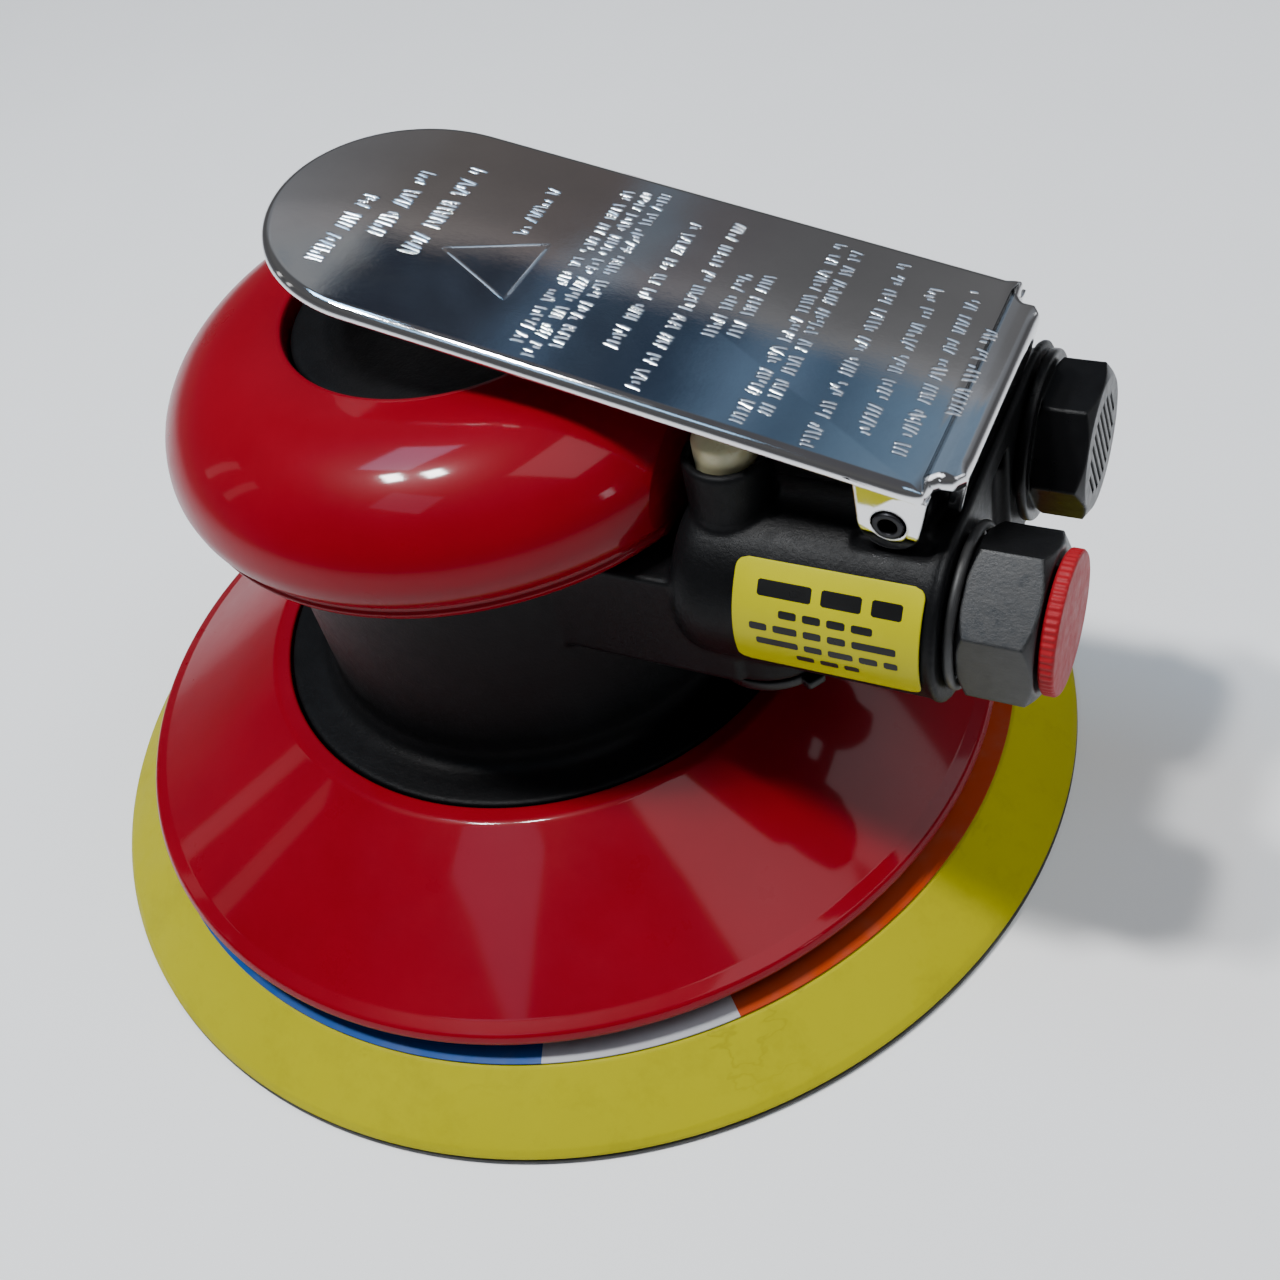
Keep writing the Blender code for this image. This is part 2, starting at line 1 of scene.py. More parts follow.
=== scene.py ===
"""Looks of the pneumatic palm sander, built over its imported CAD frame.

Lengths are written in millimetres in the frame's own axes: Z is the motor axis, +X the rear.
"""

import math
import random

import bmesh
import bpy
import numpy as np
from mathutils import Matrix, Vector


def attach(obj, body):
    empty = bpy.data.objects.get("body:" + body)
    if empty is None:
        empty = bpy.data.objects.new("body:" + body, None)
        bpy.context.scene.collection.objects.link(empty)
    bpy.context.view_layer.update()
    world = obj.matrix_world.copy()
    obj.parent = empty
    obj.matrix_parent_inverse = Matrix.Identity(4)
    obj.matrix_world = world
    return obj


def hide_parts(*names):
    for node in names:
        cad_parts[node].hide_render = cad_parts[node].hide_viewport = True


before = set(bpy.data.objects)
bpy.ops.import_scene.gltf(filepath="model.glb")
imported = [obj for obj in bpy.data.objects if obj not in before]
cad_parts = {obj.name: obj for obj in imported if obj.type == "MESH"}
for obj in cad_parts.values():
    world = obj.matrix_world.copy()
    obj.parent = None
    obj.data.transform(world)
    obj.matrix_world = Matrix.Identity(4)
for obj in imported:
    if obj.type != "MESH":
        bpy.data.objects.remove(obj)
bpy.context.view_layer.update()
MM = 0.001
RNG = random.Random(7)

# sizes shared with the CAD part, millimetres
PAD_AXIS = (0.8485, 0.8485)
PORT_Y, PORT_Z = 14.5, 58.0
STEM_X = 42.5
REG_X = 44.5
PIN_X, PIN_Z = 61.9, 72.0
TILT = math.radians(12.1)
UNDER, THICK = 3.9, 1.6
HALF, NOSE_X, BACK_X = 18.5, -64.5, 6.2
BARREL_R = 10.8
INLET, EXHAUST = (0, -PORT_Y, PORT_Z), (0, PORT_Y, PORT_Z)
STEM_AT, TAP_AT = (STEM_X, -PORT_Y, 0), (REG_X, -PORT_Y, 0)
PIN_AT = (PIN_X, 0, PIN_Z)
ALONG_X = Matrix(((0, 0, 1, 0), (1, 0, 0, 0), (0, 1, 0, 0), (0, 0, 0, 1)))  # turns +Z to +X

# looks only: lengths in millimetres except FILM, which is in metres; TICK_TOP is a ratio
FOAM_STEPS = 256
FILM = 0.00012
TICK_WIDE, TICK_HIGH, TICK_TOP = 0.24, 0.14, 0.62
FLOOR_REACH = 3000

# the photograph's camera: focal length in pixels, distance and target in millimetres
PICTURE, SENSOR = 1280, 36
FOCAL, RANGE, ANGLES = 1522.5, 233.0, (35.64, 45.73, -15.01)
TARGET, SHIFT = (10.09, 6.57, 13.3), (-0.0004, -0.0001)


# ------------------------------------------------------------------ materials

class Nodes:
    """Short calls that build a node tree."""

    def __init__(self, tree):
        self.tree = tree

    def add(self, kind, **values):
        node = self.tree.nodes.new(kind)
        for key, value in values.items():
            if key in node.inputs:
                node.inputs[key].default_value = value
            else:
                setattr(node, key, value)
        return node

    def link(self, a, b):
        self.tree.links.new(a, b)

    def ramp(self, value, stops, constant=False):
        node = self.add("ShaderNodeValToRGB")
        if constant:
            node.color_ramp.interpolation = "CONSTANT"
        points = node.color_ramp.elements
        while len(points) < len(stops):
            points.new(0.5)
        for point, (pos, tone) in zip(points, stops):
            point.position = pos
            point.color = (tone, tone, tone, 1) if isinstance(tone, float) else (*tone, 1)
        self.link(value, node.inputs["Fac"])
        return node.outputs["Color"]

    def math(self, operation, a, b):
        node = self.add("ShaderNodeMath", operation=operation)
        for slot, value in zip(node.inputs, (a, b)):
            if isinstance(value, (int, float)):
                slot.default_value = value
            else:
                self.link(value, slot)
        return node.outputs[0]

    def blend(self, fac, a, b):
        node = self.add("ShaderNodeMix", data_type="RGBA")
        self.link(fac, node.inputs["Factor"])
        for slot, value in ((node.inputs["A"], a), (node.inputs["B"], b)):
            if isinstance(value, tuple):
                slot.default_value = (*value, 1)
            else:
                self.link(value, slot)
        return node.outputs["Result"]


class Look(Nodes):
    """One procedural Principled material."""

    def __init__(self, name, colour, rough, metal=0.0, **fixed):
        self.mat = bpy.data.materials.new(name)
        self.mat.use_nodes = True
        super().__init__(self.mat.node_tree)
        self.shader = self.tree.nodes["Principled BSDF"]
        self.shader.inputs["Metallic"].default_value = metal
        for key, value in fixed.items():
            self.shader.inputs[key.replace("_", " ")].default_value = value
        self.coord = self.add("ShaderNodeTexCoord").outputs["Object"]
        self.height = None
        self.colour_mix(colour)
        self.rough_mix(rough)

    def mapped(self, scale, turn=(0, 0, 0)):
        node = self.add("ShaderNodeMapping")
        node.inputs["Scale"].default_value = scale
        node.inputs["Rotation"].default_value = turn
        self.link(self.coord, node.inputs["Vector"])
        return node.outputs["Vector"]

    def noise(self, scale, detail, rough=0.5, vector=None):
        node = self.add("ShaderNodeTexNoise", Scale=scale, Detail=detail, Roughness=rough)
        self.link(vector or self.coord, node.inputs["Vector"])
        return node.outputs["Fac"]

    def colour_mix(self, colour):
        """colour: (dark, light, scale) gives a soft mottling between two tones."""
        dark, light, scale = colour
        self.tint = self.ramp(self.noise(scale, 5, 0.6), [(0.3, dark), (0.7, light)])
        self.link(self.tint, self.shader.inputs["Base Color"])

    def rough_mix(self, rough):
        low, high, scale = rough
        self.link(self.ramp(self.noise(scale, 6, 0.65), [(0.32, low), (0.68, high)]),
                  self.shader.inputs["Roughness"])

    def paint(self, socket):
        self.tint = socket
        self.link(socket, self.shader.inputs["Base Color"])

    def bump(self, height, strength, distance, bevel=0.0):
        node = self.add("ShaderNodeBump", Strength=strength, Distance=distance)
        self.link(height, node.inputs["Height"])
        if self.height is not None:
            self.link(self.height, node.inputs["Normal"])
        elif bevel:
            edge = self.add("ShaderNodeBevel", Radius=bevel)
            edge.samples = 4
            self.link(edge.outputs["Normal"], node.inputs["Normal"])
        self.height = node.outputs["Normal"]
        self.link(self.height, self.shader.inputs["Normal"])
        return self


def red_rubber(name, wave):
    look = Look(name, ((0.19, 0.0005, 0.007), (0.225, 0.001, 0.009), 30), (0.26, 0.38, 90), IOR=1.13)
    look.shader.inputs["Coat Weight"].default_value = 0.3
    look.shader.inputs["Coat Roughness"].default_value = 0.07
    look.bump(look.noise(38, 2), wave, 0.0006, 0.0004)
    look.bump(look.noise(130, 2), wave, 0.0001)
    look.bump(look.noise(1600, 2), 0.035, 0.0001)
    return look.mat


def composite(name, grain=1.0, tone=0.003, rough=(0.34, 0.46, 700), size=1900, ior=1.2, deep=0.00006):
    dark = (tone, tone, tone * 1.12)
    light = (tone * 1.7, tone * 1.75, tone * 1.95)
    look = Look(name, (dark, light, 120), rough, IOR=ior)
    look.bump(look.noise(size, 4, 0.75), grain, deep, 0.0005)
    look.bump(look.noise(420, 2), grain * 0.3, 0.00005)
    return look.mat


def chrome_plate():
    look = Look("chromed_steel", ((0.74, 0.74, 0.75), (0.86, 0.86, 0.87), 40), (0.02, 0.08, 150), 1.0)
    brushed = look.noise(700, 3, 0.6, look.mapped((1, 22, 1), (0, 0, 0.2)))
    look.bump(look.noise(40, 2), 0.10, 0.0005, 0.0003)
    look.bump(brushed, 0.02, 0.00008)
    look.bump(look.noise(420, 3, 0.7), 0.03, 0.0001)
    return look.mat


def metal(name, dark, light, rough=(0.22, 0.38, 400)):
    look = Look(name, (dark, light, 80), rough, 1.0)
    look.bump(look.noise(900, 3, 0.6, look.mapped((1, 1, 14))), 0.05, 0.0001, 0.0002)
    return look.mat


def plain(name, dark, light, rough=(0.4, 0.6, 300), grain=0.1, size=1200, **fixed):
    look = Look(name, (dark, light, 60), rough, **fixed)
    look.bump(look.noise(size, 4, 0.65), grain, 0.00012, 0.0003)
    return look.mat


def pad_foam_look():
    look = Look("yellow_urethane", ((0.38, 0.345, 0.0), (0.42, 0.385, 0.0), 22), (0.5, 0.68, 160), IOR=1.25)
    soil = look.ramp(look.noise(60, 6, 0.75), [(0.5, 0.0), (0.78, 0.35)])
    marks = look.noise(30, 5, 0.6, look.mapped((1, 1, 3), (0, 0, 0.6)))
    hair = look.ramp(marks, [(0.488, 0.0), (0.5, 0.55), (0.512, 0.0)])
    spots = look.ramp(look.noise(12, 2, 0.5), [(0.58, 0.0), (0.66, 1.0)])
    streak = look.math("MULTIPLY", hair, spots)
    look.paint(look.blend(look.math("MAXIMUM", soil, streak), look.tint, (0.18, 0.155, 0.008)))
    look.bump(look.noise(1300, 3), 0.08, 0.00012, 0.0006)
    look.bump(look.noise(120, 3), 0.06, 0.0004)
    return look.mat


def decal_look():
    """Printed segments of blue, white and orange round the pad axis."""
    look = Look("printed_pad_disc", ((0.5, 0.1, 0.02), (0.6, 0.12, 0.03), 60), (0.3, 0.46, 200), IOR=1.2)
    parts = look.add("ShaderNodeSeparateXYZ")
    look.link(look.coord, parts.inputs[0])
    x = look.math("SUBTRACT", parts.outputs["X"], PAD_AXIS[0] * MM)
    y = look.math("SUBTRACT", parts.outputs["Y"], PAD_AXIS[1] * MM)
    turn = look.math("DIVIDE", look.math("ADD", look.math("ARCTAN2", y, x), math.pi), 2 * math.pi)
    blue, white, orange = (0.001, 0.06, 0.26), (0.42, 0.43, 0.46), (0.36, 0.035, 0.002)
    stops = [(0.0, blue), (0.3125, white), (0.372, orange), (0.62, white), (0.68, blue)]
    look.paint(look.blend(look.ramp(look.noise(300, 4), [(0.4, 0.0), (0.9, 0.25)]),
                          look.ramp(turn, stops, True), (0.16, 0.14, 0.12)))
    look.bump(look.noise(900, 2), 0.04, 0.0001)
    return look.mat


RED_GRIP = red_rubber("red_grip_rubber", 0.05)
RED_SKIRT = red_rubber("red_shroud_rubber", 0.4)
BLACK = composite("black_composite")
CHROME = chrome_plate()
# stamped ticks: the lever's chrome given a darker, bluish colour, a painted blue sky reflection and painted
# shade on the strokes
STAMP_PAINTED_SHEEN = metal("stamped_chrome_painted_blue_sheen", (0.24, 0.29, 0.36), (0.36, 0.42, 0.5), (0.42, 0.6, 900))
STEEL = metal("ground_steel", (0.42, 0.42, 0.43), (0.6, 0.6, 0.61))
DARK_STEEL = metal("black_oxide_steel", (0.02, 0.02, 0.022), (0.05, 0.05, 0.055), (0.3, 0.5, 500))
BRASS = metal("turned_brass", (0.5, 0.34, 0.13), (0.66, 0.48, 0.2))
ALUMINIUM = metal("machined_aluminium", (0.55, 0.55, 0.56), (0.7, 0.7, 0.71))
ANODISED = composite("black_anodised", 1.0, 0.003, (0.28, 0.42, 900), 2600, 1.44, 0.00002)
MOULDED = composite("black_muffler_plastic", 0.6, 0.003, (0.26, 0.4, 500), 1800, 1.3, 0.00001)
RED_PLASTIC = plain("red_plug_plastic", (0.26, 0.004, 0.01), (0.34, 0.008, 0.014), (0.4, 0.6, 500), 0.3, 900,
                    IOR=1.3)
CREAM = plain("cream_plastic", (0.36, 0.335, 0.2), (0.42, 0.39, 0.24), (0.25, 0.4, 300), 0.04,
              Subsurface_Weight=0.15, Subsurface_Scale=0.002)
RUBBER = plain("black_nitrile", (0.012, 0.012, 0.012), (0.022, 0.022, 0.022), (0.4, 0.6, 400))
VINYL = plain("black_vinyl", (0.018, 0.018, 0.016), (0.035, 0.035, 0.03), (0.5, 0.7, 300), 0.25, 1800)
NYLON = plain("glass_filled_nylon", (0.03, 0.03, 0.03), (0.06, 0.06, 0.06))
PHENOLIC = plain("phenolic_cloth", (0.16, 0.08, 0.03), (0.24, 0.13, 0.05))
FELT = plain("silencer_felt", (0.35, 0.33, 0.28), (0.5, 0.47, 0.4), (0.8, 0.95, 300), 0.5, 2500)
LABEL = plain("yellow_label_film", (0.45, 0.415, 0.0), (0.5, 0.465, 0.0), (0.28, 0.4, 200), 0.03, IOR=1.25)
INK = plain("label_ink", (0.006, 0.006, 0.006), (0.012, 0.012, 0.012), (0.25, 0.4, 200), 0.03, IOR=1.3)
FOAM = pad_foam_look()
DECAL = decal_look()


# ------------------------------------------------------------------ shapes

def keep(obj, *mats):
    bpy.context.scene.collection.objects.link(obj)
    obj.data.materials.clear()
    for mat in mats:
        obj.data.materials.append(mat)
    return obj


def smooth(obj, degrees=35):
    """Smooth shading with creases kept where faces meet at more than the given angle."""
    bm = bmesh.new()
    bm.from_mesh(obj.data)
    limit = math.radians(degrees)
    for face in bm.faces:
        face.smooth = True
    for edge in bm.edges:
        edge.smooth = len(edge.link_faces) != 2 or edge.calc_face_angle(0.0) < limit
    bm.to_mesh(obj.data)
    bm.free()
    return obj


def make(name, verts, faces, *mats):
    mesh = bpy.data.meshes.new(name)
    mesh.from_pydata([tuple(c * MM for c in v) for v in verts], [], faces)
    mesh.validate()
    return keep(bpy.data.objects.new(name, mesh), *mats)


def rounded(points, closed=False, steps=5):
    """Polyline through points (a, b, radius) with its corners rounded."""
    out = []
    count = len(points)
    for i, (x, y, r) in enumerate(points):
        here = np.array((x, y), float)
        if r <= 0 or (not closed and i in (0, count - 1)):
            out.append(tuple(here))
            continue
        a = np.array(points[i - 1][:2], float) - here
        b = np.array(points[(i + 1) % count][:2], float) - here
        la, lb = np.linalg.norm(a), np.linalg.norm(b)
        a, b = a / la, b / lb
        half = math.acos(max(-1, min(1, a @ b))) / 2
        cut = min(r / math.tan(half), la * 0.49, lb * 0.49) if half < 1.55 else 0
        if cut <= 1e-4:
            out.append(tuple(here))
            continue
        p, q = here + a * cut, here + b * cut
        for k in range(steps + 1):
            t = k / steps
            out.append(tuple((1 - t) ** 2 * p + 2 * t * (1 - t) * here + t * t * q))
    return out


def lathe(name, profile, mat, axis="Z", at=(0, 0, 0), steps=160, closed=False, warp=None):
    """Surface of revolution; axis X turns the profile's height along +X."""
    verts, faces, rings = [], [], []
    for r, h in profile:
        if r < 1e-6:
            rings.append([len(verts)])
            verts.append((0, 0, h))
            continue
        ring = []
        for k in range(steps):
            a = 2 * math.pi * k / steps
            rr, hh = warp(r, h, a) if warp else (r, h)
            ring.append(len(verts))
            verts.append((rr * math.cos(a), rr * math.sin(a), hh))
        rings.append(ring)
    pairs = list(zip(rings, rings[1:])) + ([(rings[-1], rings[0])] if closed else [])
    for top, low in pairs:
        for k in range(steps):
            n = (k + 1) % steps
            if len(top) == 1:
                faces.append((top[0], low[k], low[n]))
            elif len(low) == 1:
                faces.append((top[n], top[k], low[0]))
            else:
                faces.append((top[n], top[k], low[k], low[n]))
    if axis == "X":
        verts = [(h, x, y) for x, y, h in verts]
    elif axis == "Y":
        verts = [(y, h, x) for x, y, h in verts]
    verts = [(x + at[0], y + at[1], z + at[2]) for x, y, z in verts]
    obj = make(name, verts, faces, mat)
    flip_out(obj)
    return smooth(obj)


def flip_out(obj):
    bm = bmesh.new()
    bm.from_mesh(obj.data)
    bmesh.ops.remove_doubles(bm, verts=bm.verts, dist=1e-7)
    bmesh.ops.recalc_face_normals(bm, faces=bm.faces)
    bm.to_mesh(obj.data)
    bm.free()
    return obj


def prism(name, outline, low, high, mat, roll, layers, place, under=None, fade=None):
    """Flat outline given thickness; roll rounds its upper edge, under (or roll) its lower one.

    fade(x, y) scales the rounding along the outline.
    """
    line = np.array(outline, float)
    ahead, behind = np.roll(line, -1, 0) - line, line - np.roll(line, 1, 0)
    normal = np.stack([ahead[:, 1], -ahead[:, 0]], 1) / np.linalg.norm(ahead, axis=1)[:, None]
    before = np.stack([behind[:, 1], -behind[:, 0]], 1) / np.linalg.norm(behind, axis=1)[:, None]
    mean = normal + before
    mean /= np.maximum((mean * normal).sum(1), 0.5)[:, None]
    area = 0.5 * np.sum(line[:, 0] * np.roll(line[:, 1], -1) - np.roll(line[:, 0], -1) * line[:, 1])
    mean *= 1 if area > 0 else -1
    if fade is not None:
        mean *= np.array([fade(*p) for p in line])[:, None]
    under = roll if under is None else under
    levels, base = [], []
    for k in range(layers + 1):
        a = math.pi / 2 * k / layers
        inset, drop = 1 - math.sin(a), 1 - math.cos(a)
        levels.append((roll * inset, high - roll * drop))
        base.append((under * inset, low + under * drop))
    levels = levels + base[::-1] if roll else [(0, high), (0, low)]
    verts, faces = [], []
    count = len(line)
    for inset, z in levels:
        verts += [(*(p - m * inset), z) for p, m in zip(line, mean)]
    for k in range(len(levels) - 1):
        for i in range(count):
            j = (i + 1) % count
            faces.append((k * count + i, (k + 1) * count + i, (k + 1) * count + j, k * count + j))
    faces.append(tuple(range(count)))
    faces.append(tuple(reversed(range((len(levels) - 1) * count, len(levels) * count))))
    verts = [tuple(place @ Vector(v)) for v in verts]
    return flip_out(make(name, verts, faces, mat))


def arc(cx, cy, radius, start, end, count):
    turn = [math.radians(start + (end - start) * i / count) for i in range(count + 1)]
    return [(cx + radius * math.cos(a), cy + radius * math.sin(a)) for a in turn]


def combine(obj, operation, *tools):
    """Boolean against each tool in turn; the tools are used up."""
    for tool in tools:
        mod = obj.modifiers.new("cut", "BOOLEAN")
        mod.operation, mod.solver, mod.object = operation, "EXACT", tool
        bake(obj)
        bpy.data.objects.remove(tool, do_unlink=True)
    return obj


def bake(obj):
    graph = bpy.context.evaluated_depsgraph_get()
    mesh = bpy.data.meshes.new_from_object(obj.evaluated_get(graph), depsgraph=graph)
    obj.modifiers.clear()
    old, obj.data = obj.data, mesh
    bpy.data.meshes.remove(old)
    return obj


def block(name, size, centre, place=None):
    bm = bmesh.new()
    matrix = Matrix.Translation(Vector(centre)) @ Matrix.Diagonal((*size, 1))
    if place is not None:
        matrix = place @ matrix
    bmesh.ops.create_cube(bm, size=1.0, matrix=Matrix.Scale(MM, 4) @ matrix)
    mesh = bpy.data.meshes.new(name)
    bm.to_mesh(mesh)
    bm.free()
    return keep(bpy.data.objects.new(name, mesh))


def join(obj, *others):
    """Adds the other meshes' faces to obj, with their materials after its own."""
    bm = bmesh.new()
    bm.from_mesh(obj.data)
    for other in others:
        base = len(obj.data.materials)
        extra = bmesh.new()
        extra.from_mesh(other.data)
        for face in extra.faces:
            face.material_index += base
        mesh = bpy.data.meshes.new("part")
        extra.to_mesh(mesh)
        extra.free()
        bm.from_mesh(mesh)
        bpy.data.meshes.remove(mesh)
        for mat in other.data.materials:
            obj.data.materials.append(mat)
        bpy.data.objects.remove(other, do_unlink=True)
    bm.to_mesh(obj.data)
    bm.free()
    return obj


def finish_piece(obj, node, body):
    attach(obj, body)
    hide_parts(node)


# ------------------------------------------------------------------ pad

def pad():
    at = (*PAD_AXIS, 0)
    foam = lathe("pad_foam_skin", rounded([(0, 4.6, 0), (56.3, 4.6, 0), (56.3, 9.0, 0), (66.3, 9.0, 0.5),
                                           (74.2, 2.5, 1.6), (74.95, 1.35, 0.5), (74.7, 1.0, 0.1),
                                           (0, 1.0, 0)]), FOAM, at=at, steps=FOAM_STEPS)
    finish_piece(foam, "pad_foam", "pad_assembly")
    face = lathe("pad_vinyl_skin", rounded([(0, 0.8, 0), (74.9, 0.8, 0.2), (75.0, 0.3, 0.3),
                                            (74.7, 0, 0.2), (0, 0, 0)]), VINYL, at=at, steps=FOAM_STEPS)
    finish_piece(face, "pad_vinyl_face", "pad_assembly")
    disc = lathe("pad_printed_disc", rounded([(66.0, 9.45, 0.1), (66.0, 9.2, 0.1), (11.6, 9.2, 0),
                                              (11.6, 9.45, 0)], True, 2), DECAL, at=at, steps=FOAM_STEPS,
                 closed=True)
    finish_piece(disc, "pad_decal", "pad_assembly")


# ------------------------------------------------------------------ body

def body_shell():
    """Black composite moulding: every boss is blended into the neck by a fine remesh."""
    shell = lathe("composite_housing", rounded(
        [(0, 79.0, 0), (20.15, 79.0, 0.7), (20.15, 76.7, 0), (26.5, 75.4, 1), (29.8, 73.0, 1),
         (31.0, 69.5, 1), (31.0, 27.2, 4.5), (38.1, 27.2, 0.25), (38.1, 24.2, 0),
         (40.4, 24.2, 0.3), (40.4, 21.85, 0.3), (0, 21.85, 0)]), BLACK, steps=192)
    side = Matrix.Translation((0, 0, PORT_Z)) @ Matrix.Rotation(math.pi / 2, 4, "Y")
    plate = arc(0, -PORT_Y, 11.1, -180, 0, 28) + arc(0, PORT_Y, 11.1, 0, 180, 28)
    combine(
        shell, "UNION",
        lathe("barrel", rounded([(0, 67.8, 0), (BARREL_R, 67.8, 0), (BARREL_R, 36.3, 5),
                                 (0, 36.3, 0)], steps=8), BLACK, "X", INLET, 96),
        lathe("exhaust", rounded([(0, 67.9, 0), (10.0, 67.9, 0), (10.0, 36.5, 5), (0, 36.5, 0)], steps=8),
              BLACK, "X", EXHAUST, 84),
        block("root_near", (30, 17.8, 14.9), (29, -PORT_Y, 54.45)),
        block("root_far", (30, 17.8, 14.9), (29, PORT_Y, 54.45)),
        prism("plate", plate, 67.3, 68.25, BLACK, 0.2, 3, side),
        block("bridge", (40.1, 20, 9.8), (47.45, 0, 57.4)),
        lathe("boss", rounded([(0, 75.2, 0), (5.0, 75.2, 0.7), (5.0, 60, 0), (0, 60, 0)]), BLACK,
              at=STEM_AT, steps=66),
        lathe("pin_boss", [(0, 16.3), (3.5, 16.3), (3.5, -16.3), (0, -16.3)], BLACK, "Y",
              PIN_AT, 48),
        block("pedestal", (6.2, 32.2, 14), (PIN_X, 0, 65.0)),
        lathe("tap", rounded([(0, 54, 0), (8.2, 54, 0), (8.2, 46.9, 0.5), (0, 46.9, 0)]), BLACK,
              at=TAP_AT, steps=60))
    combine(
        shell, "DIFFERENCE",
        lathe("bore", [(0, 75.2), (24.8, 75.2), (24.8, 34.3), (26.1, 34.3), (26.1, 30.2), (30.2, 30.2),
                       (30.2, 20), (0, 20)], BLACK, steps=120),
        lathe("air_way", [(0, 72), (8.0, 72), (8.0, 52.4), (6.5, 52.4), (6.5, 38), (3.4, 38), (3.4, 16),
                          (0, 16)], BLACK, "X", INLET, 60),
        lathe("exhaust_way", [(0, 72), (7.5, 72), (7.5, 41), (3.4, 41), (3.4, 16), (0, 16)], BLACK, "X",
              EXHAUST, 60),
        lathe("stem_way", [(0, 80), (3.85, 80), (3.85, 60), (0, 60)], BLACK, at=STEM_AT, steps=50),
        lathe("tap_way", [(0, 56), (1.8, 56), (1.8, 50.8), (4.3, 50.8), (4.3, 44), (0, 44)], BLACK,
              at=TAP_AT, steps=44),
        lathe("pin_way", [(0, 20), (2.0, 20), (2.0, -20), (0, -20)], BLACK, "Y", PIN_AT, 30),
        block("pocket", (3, 6.4, 15), (68.3, 0, PORT_Z)),
        block("relief_near", (9.0, 3.2, 4), (PIN_X - 0.1, -18.05, 69.9)),
        block("relief_far", (9.0, 3.2, 4), (PIN_X - 0.1, 18.05, 69.9)))
    mod = shell.modifiers.new("blend", "REMESH")
    mod.mode, mod.voxel_size = "VOXEL", (0.00033)
    mod = shell.modifiers.new("relax", "SMOOTH")
    mod.factor, mod.iterations = 0.5, (4)
    bake(shell)
    smooth(shell, 180)
    finish_piece(shell, "housing", "tool_body")


def skirt():
    def ripple(r, h, a):
        if h < 12.6 or r < 41:
            return r, h
        swell = math.sin(3 * a + 0.8) * 0.5 + math.sin(7 * a + 2.1) * 0.3 + math.sin(16 * a) * 0.12
        reach = max(0.0, min(1.0, (r - 41) / 8)) * max(0.0, min(1.0, (64.3 - r) / 5))
        return r, h + 0.16 * swell * reach
    cone = rounded([(38.5, 27.25, 0.4), (40.9, 27.15, 2.2), (52, 20.9, 8), (62.4, 14.95, 2.0),
                    (64.3, 14.25, 0.9), (64.85, 13.1, 0.9), (64.25, 12.12, 0.5), (63.2, 12.12, 0.5),
                    (51, 18.8, 4), (43, 23.2, 2), (41.2, 24.5, 0.6), (38.5, 24.5, 0)], True, 10)
    shroud = lathe("red_shroud", cone, RED_SKIRT, steps=288, closed=True, warp=ripple)
    finish_piece(shroud, "skirt", "tool_body")


def flowing(points):
    """Smooth curve through the points (Catmull-Rom)."""
    steps = 7
    line = [np.array(p, float) for p in [points[0], *points, points[-1]]]
    out = []
    for p0, p1, p2, p3 in zip(line, line[1:], line[2:], line[3:]):
        for k in range(steps):
            t = k / steps
            out.append(tuple(0.5 * (2 * p1 + (p2 - p0) * t + (2 * p0 - 5 * p1 + 4 * p2 - p3) * t * t
                                    + (3 * p1 - p0 - 3 * p2 + p3) * t ** 3)))
    return out + [tuple(line[-1])]


def grip():
    crown = flowing([(21.3, 80.6), (24.5, 80.35), (28, 79.75), (31.2, 78.7), (34.2, 77.0), (36.8, 74.7),
                     (38.8, 71.8), (39.75, 68.6), (39.6, 66.3), (39.1, 65.3)])
    seam = rounded([(39.1, 65.3, 0), (38.45, 64.75, 0.4), (38.5, 64.2, 0.3), (38.85, 63.8, 0.35),
                    (38.35, 62.85, 0.4), (33.4, 62.8, 0.3), (31.4, 63.4, 0)], steps=8)
    inner = [(31.4, 69.6), (30.1, 73.3), (26.7, 75.8), (20.6, 77.1), (20.6, 80.1), (20.8, 80.45)]
    dome = lathe("red_palm_grip", crown + seam[1:] + inner, RED_GRIP, steps=240, closed=True)
    combine(dome, "DIFFERENCE", block("rear", (40, 54, 40), (54.5, 0, 66)))
    smooth(dome, 30)
    finish_piece(dome, "grip", "tool_body")


